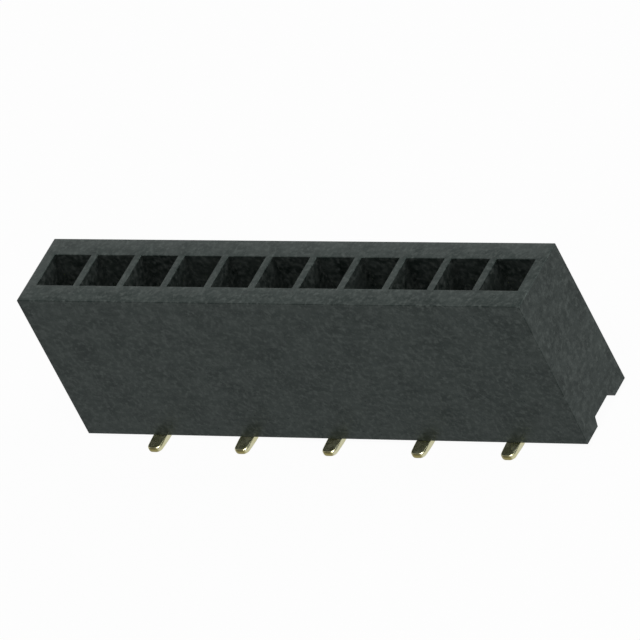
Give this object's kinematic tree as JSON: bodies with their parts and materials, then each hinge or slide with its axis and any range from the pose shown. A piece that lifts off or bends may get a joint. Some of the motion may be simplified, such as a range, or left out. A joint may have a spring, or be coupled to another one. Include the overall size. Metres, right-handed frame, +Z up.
{
  "type": "female pin header strip",
  "caption": "Slim black socket strip for surface mounting: a row of square openings with folded spring contacts inside, and flat solder tails leaving front and rear by turns.",
  "frame": {"origin": "on the board plane that the tails rest on, under the middle of the strip", "axes": "+X along the row of sockets, +Y across the strip towards the rear tails, +Z up out of the sockets"},
  "size_m": [0.0144, 0.0032, 0.0046],
  "materials": {
    "housing_plastic": "fine matte moulded, black",
    "contact_metal": "thin gold plating over copper alloy"
  },
  "bodies": {
    "root": {"housing": "housing_plastic", "contact_01": "contact_metal", "contact_02": "contact_metal", "contact_03": "contact_metal", "contact_04": "contact_metal", "contact_05": "contact_metal", "contact_06": "contact_metal", "contact_07": "contact_metal", "contact_08": "contact_metal", "contact_09": "contact_metal", "contact_10": "contact_metal", "contact_11": "contact_metal"}
  },
  "joints": []
}
